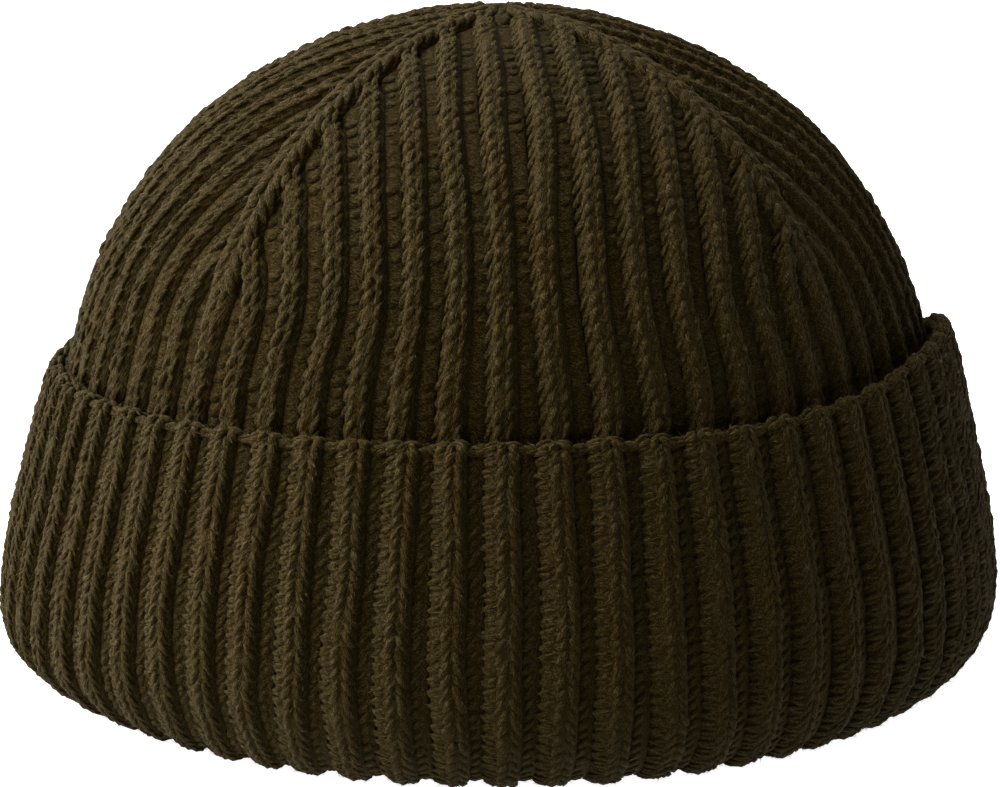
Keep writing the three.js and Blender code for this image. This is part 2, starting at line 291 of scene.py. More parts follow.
# Places of the rings along a strand, from -1 to 1, and their sizes, for strands of 3 and of 4 rings
RINGS = {
    3: (np.array([-0.85, 0.0, 0.85]), np.array([0.78, 1.0, 0.78])),
    4: (np.array([-0.92, -0.38, 0.38, 0.92]), np.array([0.66, 1.0, 1.0, 0.66])),
}

# How far the crown's stitches stand over the surface of the solid
CROWN_LIFT = 0.2

# Stitches. Each row of a table is one kind of strand of yarn in a rib. Its two ends are given across the rib,
# along it and in height, from the middle of a stitch row and from the surface through the rib tops.
# name: (start, end, lift, half-width, half-thickness, sides, rings, twist in radians per millimetre)
CROWN_PITCH = 8.6
CROWN_ROW = 3.0
CROWN_STRANDS = {
    "flank": ((-2.4, -1.2, -2.65), (-1.0, 1.1, -1.55), 0.12, 0.72, 0.45, 5, 4, 0.5),
    "rope": ((-0.95, -1.7, -1.2), (0.1, 1.75, -0.95), 0.3, 0.8, 0.62, 5, 4, -1.3),
    "leaf": ((1.0, -1.8, -1.35), (1.85, 1.8, -1.2), 0.3, 0.66, 0.55, 5, 4, 0.5),
    "purl": ((2.6, -0.7, -2.8), (5.7, 0.7, -2.7), 0.12, 1.45, 0.36, 5, 3, 0.5),
}
# Across and height of the soft body under each rib's strands
CROWN_BODY = [
    (-2.8, -3.6), (-2.2, -2.6), (-1.4, -1.5), (-0.75, -0.55),
    (0.3, -0.52), (0.9, -0.8), (1.7, -0.85), (2.8, -1.95), (3.5, -3.5),
]
# Across and height of the strip under the purl stitches between two ribs, and the turn of its fibres
CROWN_CHANNEL = [(2.0, -3.7), (2.5, -2.55), (4.2, -2.45), (6.2, -2.5), (6.6, -3.7)]
CROWN_CHANNEL_TURN = math.radians(-75)
CUFF_PITCH = 9.6
CUFF_ROW = 2.2
CUFF_STRANDS = {
    "tooth": ((-3.6, -0.1, -2.25), (-1.0, 0.7, -1.05), 0.26, 0.6, 0.4, 5, 3, 0.5),
    "lower_tooth": ((-3.5, -0.45, -2.3), (-1.0, -0.6, -1.05), 0.26, 0.6, 0.4, 5, 3, 0.5),
    "middle_leg": ((-0.95, -1.5, -1.0), (0.45, 1.5, -0.9), 0.22, 0.72, 0.5, 5, 3, 0.5),
    "right_leg": ((2.45, -1.5, -1.45), (1.25, 1.5, -0.95), 0.22, 0.75, 0.52, 5, 3, 0.5),
    "channel": ((3.2, -1.0, -2.6), (5.1, 1.0, -2.6), 0.1, 0.8, 0.35, 5, 3, 0.5),
}
CUFF_BODY = [
    (-3.6, -3.5), (-3.1, -2.1), (-2.0, -1.2), (-0.7, -0.6),
    (0.3, -0.62), (0.9, -0.85), (1.7, -0.75), (2.7, -1.5), (3.6, -3.4),
]
CUFF_CHANNEL = [(2.2, -3.7), (2.7, -2.5), (4.5, -2.5), (6.3, -2.6), (6.9, -3.7)]
CUFF_CHANNEL_TURN = math.radians(-40)
# Share of the ribs' relief that is lost where the fabric is stretched round the fold, up to the first length
# along the profile, and it is all back at the second
FOLD_FLATTENING = 0.4
FOLD_FLAT_S = 10.0
FOLD_FULL_S = 28.0

# Strands of the cast-on edge in every rib, with the length measured from the edge's highest point
EDGE_STRANDS = {
    "tooth_top": ((-3.2, -1.7, -1.7), (-0.8, -0.9, -0.95), 0.3, 0.75, 0.7, 6, 4, 0.5),
    "left_top": ((-1.1, -2.0, -1.0), (0.2, -0.2, -0.95), 0.3, 0.8, 0.75, 6, 4, 0.5),
    "right_top": ((2.6, -2.0, -1.4), (1.0, -0.3, -1.0), 0.3, 0.8, 0.75, 6, 4, 0.5),
    "bridge": ((2.2, -0.6, -1.9), (4.7, -1.0, -2.3), 0.2, 0.65, 0.6, 6, 4, 0.5),
    "next_bridge": ((6.8, -0.6, -2.0), (4.1, -1.0, -2.3), 0.2, 0.65, 0.6, 6, 4, 0.5),
    "inner_left": ((-3.3, 0.6, -1.2), (0.1, 0.9, -1.0), 0.3, 0.75, 0.7, 5, 4, 0.5),
    "inner_right": ((-0.2, 0.6, -1.0), (3.2, 0.9, -1.1), 0.3, 0.75, 0.7, 5, 4, 0.5),
    "inner_bridge": ((2.9, 0.9, -1.8), (6.4, 0.7, -1.9), 0.25, 0.65, 0.6, 5, 4, 0.5),
    "lower_left": ((-2.9, 2.4, -0.9), (-1.2, 4.4, -0.8), 0.3, 1.0, 0.8, 5, 4, 0.5),
    "lower_middle": ((1.2, 2.4, -0.9), (-0.6, 4.4, -0.8), 0.3, 1.0, 0.8, 5, 4, 0.5),
    "lower_right": ((1.9, 2.4, -0.9), (3.4, 4.4, -0.8), 0.3, 1.0, 0.8, 5, 4, 0.5),
    "lower_side": ((5.8, 2.4, -0.9), (4.2, 4.4, -0.8), 0.3, 1.0, 0.8, 5, 4, 0.5),
}
# Strands of a dart rib's two ropes near the top
DART_STRANDS = {
    "left_rope": ((-2.6, -2.4, -1.8), (-0.55, 2.4, -0.9), 0.35, 1.15, 0.75, 6, 4, 0.5),
    "right_rope": ((2.6, -2.4, -1.8), (0.55, 2.4, -0.9), 0.35, 1.15, 0.75, 6, 4, 0.5),
}
DART_BODY = [
    (-3.6, -3.8), (-3.2, -2.0), (-2.2, -0.95), (-1.1, -0.5),
    (0.0, -0.8), (1.1, -0.5), (2.2, -0.95), (3.2, -2.0), (3.6, -3.8),
]
# No body under the stitches goes deeper than this, so that none comes through the inside of the wall
BODY_FLOOR = -3.8
# Spread of a strand's ends across, along and in height, of its size, and of its lift
JITTER = np.array([0.16, 0.2, 0.1])
SIZE_JITTER = 0.1
LIFT_JITTER = 0.2
# Where a strand's pointed tips are, as a multiple of its half length, and how far they dive
TIP_STEP = 1.3
TIP_DIVE = 0.5
# Width that is left at the ends of a body, and how far its ends sink
BODY_END_SHARE = 0.55
BODY_SINK = 0.9
# Places for loose fibres on each strand, their largest turn to its sides, and where they root in its radius
FIBRES_PER_STRAND = 5
FIBRE_LEAN = 1.1
FIBRE_ROOT = 0.93
# Range of random places in the yarn's pattern, so that no two strands look alike
YARN_PLACES = 400
# The yarn's colour is darkened between these heights, a painted shade of the depths between the ribs
DEEP_START = -1.6
DEEP_END = -3.1
# Places where loose fibres may start: base, outward direction, direction along the yarn, deepness
fibre_roots = {"crown": [], "cuff": []}

rng = np.random.default_rng(SEED)


def deepness(height):
    """0 on the outer yarn, 1 in the depths between the ribs; it sets the painted shade there and thins out
    the loose fibres.
    """
    return smooth_step(DEEP_START, DEEP_END, np.asarray(height, float))


def tube_faces(rings, sides):
    """Quads and end fans of a tube whose points are its rings and then its two tips."""
    ring, k = np.meshgrid(np.arange(rings - 1), np.arange(sides), indexing="ij")
    k2 = (k + 1) % sides
    low = ring * sides
    high = low + sides
    quads = np.stack([low + k, high + k, high + k2, low + k2], -1).reshape(-1, 4)
    k = np.arange(sides)
    k2 = (k + 1) % sides
    last = (rings - 1) * sides
    first_fan = np.stack([np.full(sides, rings * sides), k, k2], 1)
    last_fan = np.stack([np.full(sides, rings * sides + 1), last + k2, last + k], 1)
    return quads, np.concatenate([first_fan, last_fan])


def strand_roots(points, along, side, out, height, ring_size, width, thick):
    """Random places on strands where loose fibres may start, from the values at their rings."""
    count, rings = ring_size.shape
    pick = rng.integers(0, rings, (count, FIBRES_PER_STRAND))
    lean = rng.uniform(-FIBRE_LEAN, FIBRE_LEAN, (count, FIBRES_PER_STRAND))
    row = np.arange(count)[:, None]
    across = np.sin(lean)[..., None] * side[row, pick]
    upward = np.cos(lean)[..., None] * out[row, pick]
    reach = across * width + upward * thick
    base = points[row, pick] + reach * ring_size[row, pick][..., None] * FIBRE_ROOT
    vectors = (base, unit(across + upward), along[row, pick])
    return [part.reshape(-1, 3) for part in vectors] + [deepness(height[row, pick]).ravel()]


def strand_yarn(points, height, ring_size, width, thick, angle, twist):
    """Places along and across the yarn, with the twist of its plies, then the deepness, at rings and tips."""
    count, rings = ring_size.shape
    length = np.linalg.norm(np.diff(points, axis=1), axis=2)
    distance = np.concatenate([np.zeros((count, 1)), np.cumsum(length, axis=1)], axis=1)
    number = rng.uniform(0, YARN_PLACES, count)
    turn = angle[None, None, :] + twist * distance[:, 1:-1, None]
    mean_size = ring_size * (width + thick) / 2
    at_rings = np.stack(
        [
            np.broadcast_to((distance[:, 1:-1] + number[:, None])[:, :, None], turn.shape),
            mean_size[:, :, None] * np.cos(turn),
            mean_size[:, :, None] * np.sin(turn),
            deepness(height[:, 1:-1, None] + ring_size[:, :, None] * thick * np.sin(angle)),
        ],
        -1,
    )
    at_tips = np.zeros((count, 2, 4))
    at_tips[:, :, 0] = distance[:, [0, -1]] + number[:, None]
    at_tips[:, :, 3] = deepness(height[:, [0, -1]])
    return np.concatenate([at_rings.reshape(count, rings * len(angle), 4), at_tips], axis=1)


def strand_arrays(place, count, strand, roots, spread=1.0):
    """Closed tubes with pointed ends, as many as count; place gives the points and normals on the hat."""
    start, end, lift, width, thick, sides, kind, twist = strand
    steps, sizes = RINGS[kind]
    jitter = rng.normal(0, 1, (count, 8))
    start = np.array(start)[None, :] + jitter[:, 0:3] * JITTER * spread
    end = np.array(end)[None, :] + jitter[:, 3:6] * JITTER * spread
    lift = lift * (1 + LIFT_JITTER * jitter[:, 6])
    size = 1 + SIZE_JITTER * np.clip(jitter[:, 7], -2.5, 2.5)

    all_steps = np.concatenate([[-TIP_STEP], steps, [TIP_STEP]])
    t = (all_steps + 1) / 2
    axis = start[:, None, :] + (end - start)[:, None, :] * t[None, :, None]
    height = axis[:, :, 2]
    height += lift[:, None] * (1 - all_steps**2)[None, :]
    height[:, [0, -1]] -= TIP_DIVE
    points, normals = place(axis[:, :, 0], axis[:, :, 1], height)
    along = unit(np.gradient(points, axis=1))
    side = unit(np.cross(along, normals))
    out = np.cross(side, along)

    # The tubes' rings, without the two tips
    rings = slice(1, -1)
    angle = -math.pi / 2 + (np.arange(sides) + 0.5) * 2 * math.pi / sides
    ring_size = size[:, None] * sizes[None, :]
    c = np.cos(angle)[None, None, :, None]
    s = np.sin(angle)[None, None, :, None]
    ring = points[:, rings, None, :] + ring_size[:, :, None, None] * (
        c * width * side[:, rings, None, :] + s * thick * out[:, rings, None, :]
    )
    verts = np.concatenate([ring.reshape(count, -1, 3), points[:, [0, -1]]], axis=1)
    at_rings = [values[:, rings] for values in (points, along, side, out, height)]
    roots.append(strand_roots(*at_rings, ring_size, width, thick))
    yarn = strand_yarn(points, height, ring_size, width, thick, angle, twist)
    quads, tris = tube_faces(len(steps), sides)
    first = (np.arange(count) * verts.shape[1])[:, None, None]
    return (
        verts.reshape(-1, 3),
        (first + quads[None]).reshape(-1, 4),
        (first + tris[None]).reshape(-1, 3),
        yarn.reshape(-1, 4),
    )


def body_arrays(place, along, section, turn=0.0, sink=BODY_SINK):
    """One closed tube along a rib with a fixed section; both ends are narrower and sink a little."""
    section = np.array(section)
    rows = len(along)
    sides = len(section)
    share = np.ones(rows)
    share[0] = share[-1] = BODY_END_SHARE
    drop = np.zeros(rows)
    drop[0] = drop[-1] = -sink
    across = section[None, :, 0] * share[:, None]
    height = np.maximum(section[None, :, 1] + drop[:, None], BODY_FLOOR)
    up = np.repeat(along[:, None], sides, 1)
    points, _ = place(across, up, height)
    verts = points.reshape(-1, 3)
    centres = np.stack([points[0].mean(0), points[-1].mean(0)])
    verts = np.concatenate([verts, centres])
    quads, tris = tube_faces(rows, sides)
    right = np.broadcast_to(section[None, :, 0], (rows, sides))
    yarn = np.stack(
        [
            up * math.cos(turn) + right * math.sin(turn) + rng.uniform(0, YARN_PLACES),
            right * math.cos(turn) - up * math.sin(turn),
            np.broadcast_to(section[None, :, 1], (rows, sides)),
            deepness(height),
        ],
        -1,
    ).reshape(-1, 4)
    yarn = np.concatenate([yarn, yarn[[0, -1]]])
    return outward_faces(verts, quads, tris) + (yarn,)


def outward_faces(verts, quads, tris):
    """Faces turned so that the closed mesh has its volume inside."""
    fans = np.concatenate([quads[:, [0, 1, 2]], quads[:, [0, 2, 3]], tris])
    middle = verts.mean(0)
    a, b, c = (verts[fans[:, i]] - middle for i in range(3))
    if np.einsum("ij,ij->i", a, np.cross(b, c)).sum() < 0:
        return verts, quads[:, ::-1], tris[:, ::-1]
    return verts, quads, tris


def make_mesh(name, parts, floor=None):
    """One object from parts, each with its points, quads, triangles, and yarn places with deepness."""
    verts, quads, tris, yarn = [], [], [], []
    start = 0
    for p, q, t, y in parts:
        verts.append(p)
        quads.append(q + start)
        tris.append(t + start)
        yarn.append(y)
        start += len(p)
    verts = np.concatenate(verts)
    quads = np.concatenate(quads).astype(np.int32)
    tris = np.concatenate(tris).astype(np.int32)
    if floor is not None:
        verts[:, 2] = np.maximum(verts[:, 2], floor)
    mesh = bpy.data.meshes.new(name)
    mesh.vertices.add(len(verts))
    mesh.vertices.foreach_set("co", (verts * MM).astype(np.float32).ravel())
    mesh.loops.add(quads.size + tris.size)
    mesh.loops.foreach_set("vertex_index", np.concatenate([quads.ravel(), tris.ravel()]))
    mesh.polygons.add(len(quads) + len(tris))
    starts = np.concatenate([np.arange(len(quads)) * 4, quads.size + np.arange(len(tris)) * 3])
    mesh.polygons.foreach_set("loop_start", starts.astype(np.int32))
    mesh.update(calc_edges=True)
    mesh.polygons.foreach_set("use_smooth", np.ones(len(mesh.polygons), bool))
    yarn = np.concatenate(yarn).astype(np.float32)
    mesh.attributes.new("yarn", "FLOAT_VECTOR", "POINT").data.foreach_set("vector", yarn[:, :3].ravel())
    # The deepness of each point sets the painted shade of the depths in the wool
    mesh.attributes.new("deep", "FLOAT", "POINT").data.foreach_set("value", yarn[:, 3].copy())
    mesh.validate()
    obj = bpy.data.objects.new(name, mesh)
    bpy.context.collection.objects.link(obj)
    return obj


def rib_rows(point_of, start, stop, row):
    """Lengths of the stitch rows along a rib's middle line, then lengths and runs of points on that line."""
    runs = np.linspace(start, stop, 400)
    points, _ = point_of(runs)
    length = np.concatenate([[0], np.cumsum(np.linalg.norm(np.diff(points, axis=0), axis=1))])
    rows = np.arange(0.5 * row, length[-1] - 0.3 * row, row)
    return rows, length, runs


def crown_stop(ribs):
    """The run where the line that is so many ribs from the panel's middle meets the dart rib."""
    inside = crown_azimuth(ribs, CROWN_R, CROWN_Z) < dart_limit(CROWN_R)
    dome = RUNS > 1.02
    return RUNS[dome][np.argmin(inside[dome])]


# The crown's stitches start behind the cuff and end where the gathered yarn of the apex starts
CROWN_START_RUN = 0.88
TOP_RUN = 1.985
# The rows of a rib go on to where a line this many ribs nearer the panel's middle meets the dart rib
RIB_OVERRUN = 1.2
# Height where a dart rib becomes a cable, and the stitch rows over which its two bodies overlap there
DART_START_Z = 84
DART_OVERLAP = 4
# How far a strand's middle stays from a dart rib's edge
STRAND_MARGIN = {"flank": 0.6, "rope": 0.5, "leaf": 0.5, "purl": 0.2}
# How far a rib's body and the channel beside it go on past a dart rib's edge
BODY_PAST_EDGE = 1.0
CHANNEL_PAST_EDGE = 3.6
# Sizes of the three waves by which a rib drifts sideways, and the radians that the longest turns at each row
DRIFT_SIZES = np.array([0.28, 0.16, 0.09])
DRIFT_TURN = 0.16


def rib_wobble(count):
    """Slow sideways drift of a rib, in millimetres, from a few seeded waves over its length."""
    waves = rng.normal(0, 1, 3) * DRIFT_SIZES
    phase = rng.uniform(0, 2 * math.pi, 3)
    x = np.arange(count)
    return sum(waves[i] * np.sin(x * (i + 1) * DRIFT_TURN + phase[i]) for i in range(3))


def crown_inside(ribs, run, margin):
    """True where a point of a panel is clear of the dart rib by a margin in millimetres."""
    r, z, _, _ = crown_profile(run)
    return np.abs(crown_azimuth(ribs, r, z)) < dart_limit(r) - margin / np.maximum(r, 1)


def crown_rib(turn, ribs):
    """Strands, body and channel of a rib that is so many ribs from its panel's middle."""

    def middle_line(run):
        return crown_panel_point(turn, np.full_like(run, ribs), run, np.zeros_like(run))

    stop = crown_stop(max(abs(ribs) - RIB_OVERRUN, 0.02))
    rows, length, runs = rib_rows(middle_line, CROWN_START_RUN, min(stop, TOP_RUN), CROWN_ROW)
    row_runs = np.interp(rows, length, runs)
    wobble = rib_wobble(len(rows))
    parts = []
    for name, strand in CROWN_STRANDS.items():
        lateral = ribs + (strand[0][0] + strand[1][0]) / 2 / CROWN_PITCH
        kept = rows[crown_inside(lateral, row_runs, STRAND_MARGIN[name])]
        if not len(kept):
            continue

        def place(across, along, height):
            drift = np.interp(kept, rows, wobble)
            run = np.interp(kept[:, None] + along, length, runs)
            return crown_panel_point(turn, ribs + (across + drift[:, None]) / CROWN_PITCH, run, height)

        parts.append(strand_arrays(place, len(kept), strand, fibre_roots["crown"]))

    def place_body(across, along, height):
        drift = np.interp(along, rows, wobble)
        run = np.interp(along, length, runs)
        return crown_panel_point(turn, ribs + (across + drift) / CROWN_PITCH, run, height)

    body_rows = rows[crown_inside(ribs, row_runs, -BODY_PAST_EDGE)]
    parts.append(body_arrays(place_body, body_rows, CROWN_BODY))
    channel_rows = rows[crown_inside(ribs + 0.5, row_runs, -CHANNEL_PAST_EDGE)]
    parts.append(body_arrays(place_body, channel_rows, CROWN_CHANNEL, CROWN_CHANNEL_TURN, 0.0))
    return parts


def dart_rib(middle):
    """A dart rib, which is like every other rib low down and becomes a cable of two ropes near the top."""

    def middle_line(run):
        return crown_dart_point(middle, np.zeros_like(run), run, np.zeros_like(run))

    rows, length, runs = rib_rows(middle_line, CROWN_START_RUN, TOP_RUN, CROWN_ROW)

    def place_at(kept):
        def place(across, along, height):
            return crown_dart_point(middle, across, np.interp(kept[:, None] + along, length, runs), height)

        return place

    def place_body(across, along, height):
        return crown_dart_point(middle, across, np.interp(along, length, runs), height)

    row_heights = np.interp(np.interp(rows, length, runs), RUNS, CROWN_Z)
    change = int(np.sum(row_heights < DART_START_Z))
    parts = []
    for strands, kept in ((CROWN_STRANDS, rows[:change]), (DART_STRANDS, rows[change:])):
        for strand in strands.values():
            parts.append(strand_arrays(place_at(kept), len(kept), strand, fibre_roots["crown"]))
    low_rows = rows[: change + DART_OVERLAP]
    parts.append(body_arrays(place_body, low_rows, CROWN_BODY))
    parts.append(body_arrays(place_body, rows[change - DART_OVERLAP :], DART_BODY))
    # The channel on the dart rib's right, which no rib of its own panel covers
    parts.append(body_arrays(place_body, low_rows, CROWN_CHANNEL, CROWN_CHANNEL_TURN, 0.0))
    return parts


def crown_panel(index):
    """The ribs of one panel from left to right, then the dart rib at its right."""
    turn = CROWN_TURN + index * math.pi / 2
    parts = []
    for rib in range(-HALF_PANEL, HALF_PANEL):
        parts += crown_rib(turn, rib + 0.5)
    return parts + dart_rib(turn + math.pi / 4)


# Rings of strands that close the apex: how many strands, the radius and the height of their two ends, their
# half-width, and the azimuth of the first one. A negative radius lies beyond the middle.
GATHER_RINGS = (
    (10, 6.5, 1.2, -1.5, -0.9, 1.3, 0.1),
    (6, 3.4, -1.4, -1.1, -0.55, 1.2, 0.5),
    (4, 10.0, 1.5, -2.3, -1.5, 2.2, CROWN_TURN),
)
# Turn round the apex for each millimetre across, and the spread of these strands
GATHER_TURN = 0.25
GATHER_SPREAD = 0.6


def crown_top():
    """Gathered yarn that closes the apex."""
    dome = RUNS > 1.2
    parts = []
    for count, r_start, r_end, low, high, width, phase in GATHER_RINGS:
        angle = np.arange(count) * 2 * math.pi / count + phase

        def place(across, along, height):
            r = np.abs(along)
            azimuth = angle[:, None] + np.where(along < 0, math.pi, 0) + across * GATHER_TURN
            z = np.interp(-r, -CROWN_R[dome], CROWN_Z[dome])
            point = np.stack([r * np.sin(azimuth), -r * np.cos(azimuth), z + height], -1)
            return point, np.broadcast_to(np.array([0.0, 0.0, 1.0]), point.shape)

        strand = ((-0.3, r_start, low), (0.3, r_end, high), 0.15, width, 0.9, 6, 3, 0.5)
        parts.append(strand_arrays(place, count, strand, fibre_roots["crown"], GATHER_SPREAD))
    return parts


# How far short of the edge's highest point the cuff's strands stop, the bodies' rows, and the bodies' ends
STRANDS_SHORT = 1.9
BODY_SHORT = 1.5
BODY_END_SHORT = 0.8
# Length along the profile where the bodies start
BODY_START_S = 3.0


def cuff_rib(ribs):
    """Strands, body and channel of one rib of the cuff."""
    rows = np.arange(0.4 * CUFF_ROW, CUFF_TOP_S - STRANDS_SHORT, CUFF_ROW)
    wobble = rib_wobble(len(rows))

    def place(across, along, height):
        lateral = ribs + (across + wobble[:, None]) / CUFF_PITCH
        s = np.clip(rows[:, None] + along, 0, CUFF_LENGTH)
        return cuff_point(lateral, s, height * cuff_relief(s))

    def place_body(across, along, height):
        drift = np.interp(along, rows, wobble)
        return cuff_point(ribs + (across + drift) / CUFF_PITCH, along, height * cuff_relief(along))

    parts = []
    for strand in CUFF_STRANDS.values():
        parts.append(strand_arrays(place, len(rows), strand, fibre_roots["cuff"]))
    body_rows = np.arange(BODY_START_S, CUFF_TOP_S - BODY_SHORT, CUFF_ROW)
    body_rows = np.append(body_rows, CUFF_TOP_S - BODY_END_SHORT)
    parts.append(body_arrays(place_body, body_rows, CUFF_BODY))
    parts.append(body_arrays(place_body, body_rows, CUFF_CHANNEL, CUFF_CHANNEL_TURN))
    return parts


def cuff_quarter(index):
    """The cuff's ribs in one quarter of the hat."""
    parts = []
    for rib in range(RIBS // 4):
        parts += cuff_rib(index * RIBS // 4 + rib - HALF_PANEL)
    return parts


# How far the rows inside the edge stand towards the crown, but not at the right, where the cuff stands off
EDGE_HUG = 0.9
EDGE_SPREAD = 0.8


def cuff_edge_loops():
    """The cast-on chain along the cuff's top edge and the first rows inside it."""
    parts = []
    ribs = np.arange(RIBS)

    def place(across, along, height):
        s = np.clip(CUFF_TOP_S + along, 0, CUFF_LENGTH)
        around = ribs[:, None] + across / CUFF_PITCH
        hug = 1 - smooth_step(0.55, 0.95, np.sin(cuff_azimuth(around) + math.radians(8)))
        return cuff_point(around, s, height + EDGE_HUG * hug * smooth_step(0.3, 2.0, along))

    for strand in EDGE_STRANDS.values():
        parts.append(strand_arrays(place, RIBS, strand, fibre_roots["cuff"], EDGE_SPREAD))
    return parts


def grid_faces(rows, columns):
    """Quads of a tube grid whose rows go up and whose columns go round to the right, seen from outside."""
    j, i = np.meshgrid(np.arange(rows - 1), np.arange(columns), indexing="ij")
    i2 = (i + 1) % columns
    low = j * columns
    high = low + columns
    return np.stack([low + i, low + i2, high + i2, high + i], -1).reshape(-1, 4)


NO_TRIS = np.zeros((0, 3), int)
NO_QUADS = np.zeros((0, 4), int)
# Depth of the walls' outside under the rib tops, and the columns that they have for each rib
CORE_DEPTH = 2.9
COLUMNS_PER_RIB = 4
# Heights of the ribs on the inside of the crown, in its even and in its odd rows
INNER_RELIEF = (0.8, 1.1)
# Ribs and swell of the crown's wall fade between these radii towards the apex
APEX_CLEAR_R = 8
APEX_FULL_R = 40


def crown_core():
    """Closed wall under the stitches: an outside darkened with painted shade, and an inside with its own low
    ribs and rows.
    """
    columns = RIBS * COLUMNS_PER_RIB
    azimuth = CROWN_TURN + np.arange(columns) * 2 * math.pi / columns
    outer_runs = np.concatenate([np.linspace(0.0, 1.0, 8), np.linspace(1.0, TOP_RUN, 26)[1:]])
    inner_runs = np.concatenate([np.linspace(0.0, 1.0, 30), np.linspace(1.0, 1.97, 50)[1:]])

    def ring(run, height, relief):
        r, z, nr, nz = crown_profile(run)
        rib = 0.5 + 0.5 * np.cos(azimuth * RIBS)
        fade = smooth_step(APEX_CLEAR_R, APEX_FULL_R, r)
        depth = height + relief * rib * fade
        swell = crown_swell(azimuth, np.full_like(azimuth, z)) * fade
        radius = np.maximum(r + swell + nr * depth, 0.4)
        return np.stack([radius * np.sin(azimuth), -radius * np.cos(azimuth), z + nz * depth], -1)

    outer = [ring(run, -CORE_DEPTH, 0.0) for run in outer_runs]
    inner = [ring(run, -CROWN_WALL, INNER_RELIEF[j % 2]) for j, run in enumerate(inner_runs)]
    rings = inner[::-1] + outer
    tips = np.array([[0, 0, CROWN_Z[-1] - CROWN_WALL], [0, 0, CROWN_Z[-1] - CORE_DEPTH]])
    verts = np.concatenate(rings + [tips])
    quads = grid_faces(len(rings), columns)
    i = np.arange(columns)
    i2 = (i + 1) % columns
    inner_tip = len(verts) - 2
    outer_tip = len(verts) - 1
    last = (len(rings) - 1) * columns
    tris = np.concatenate(
        [
            np.stack([np.full(columns, inner_tip), i2, i], 1),
            np.stack([last + i, last + i2, np.full(columns, outer_tip)], 1),
        ]
    )
    # Painted shade: the outside gets the full darkening of the depths, the inside none
    deep = np.concatenate([np.zeros(len(inner) * columns), np.ones(len(outer) * columns), [0, 1]])
    return verts, quads, tris, np.column_stack([verts, deep])


# Up to this length the cuff's wall lies less deep under its stitches: the least depth, and how much it grows
LIP_S = 6
LIP_DEPTH = 0.6
LIP_GROWTH = 1.2
# Heights of the wall's rows along the crown, their gap to it, and the last row as radius and height
CUFF_INNER_HEIGHTS = (59.5, 56.5, 50, 42, 30, 18, 12, 6.3)
CUFF_INNER_GAP = 0.35
CUFF_FOOT_R = 86.0
CUFF_FOOT_Z = 5.7


def cuff_core():
    """Closed ring under the cuff's stitches: round the fold, up the outside, and down along the crown."""
    ribs = np.arange(RIBS * COLUMNS_PER_RIB) / COLUMNS_PER_RIB
    s = np.concatenate([np.linspace(0, 8, 6), np.linspace(8, CUFF_TOP_S - BODY_SHORT, 26)[1:]])
    outer = []
    for value in s:
        depth = CORE_DEPTH * cuff_relief(value) if value > LIP_S else LIP_DEPTH + LIP_GROWTH * value / LIP_S
        outer.append(cuff_point(ribs, np.full_like(ribs, value), np.full_like(ribs, -depth))[0])
    azimuth = cuff_azimuth(ribs)
    inner = []
    for z in CUFF_INNER_HEIGHTS:
        height = cuff_height(np.full_like(ribs, z), azimuth)
        skirt_r = table_at(CROWN_SKIRT, height)
        r = np.where(height < SKIRT_TOP_Z, skirt_r, np.interp(height, CROWN_Z, CROWN_R)) + CUFF_INNER_GAP
        r = r + crown_swell(azimuth, height)
        inner.append(np.stack([r * np.sin(azimuth), -r * np.cos(azimuth), height], -1))
    foot_z = np.full_like(azimuth, CUFF_FOOT_Z)
    inner.append(np.stack([CUFF_FOOT_R * np.sin(azimuth), -CUFF_FOOT_R * np.cos(azimuth), foot_z], -1))
    rings = outer + inner
    verts = np.concatenate(rings)
    columns = len(ribs)
    quads = grid_faces(len(rings), columns)
    i = np.arange(columns)
    i2 = (i + 1) % columns
    last = (len(rings) - 1) * columns
    quads = np.concatenate([quads, np.stack([last + i, last + i2, i2, i], 1)])
    # Painted shade: the whole ring gets the full darkening of the depths
    return verts, quads, NO_TRIS, np.column_stack([verts, np.ones(len(verts))])


# Loose fibre ends on each piece, and the share of them that is lost in the depths between the ribs
CROWN_FIBRES = 27000
CUFF_FIBRES = 25000
DEEP_FIBRE_LOSS = 0.85
# Their length, their mean slope away from the yarn, their radius, and the spread of direction and of length
FIBRE_LENGTH = 1.6
FIBRE_RISE = 0.4
FIBRE_RADIUS = 0.075
FIBRE_SCATTER = 0.22
FIBRE_LENGTHS = (0.6, 1.4)
# Share of a fibre's length that lies back under its base, and how far its root is pushed in
FIBRE_BACK = 0.25
FIBRE_PUSH = 0.05


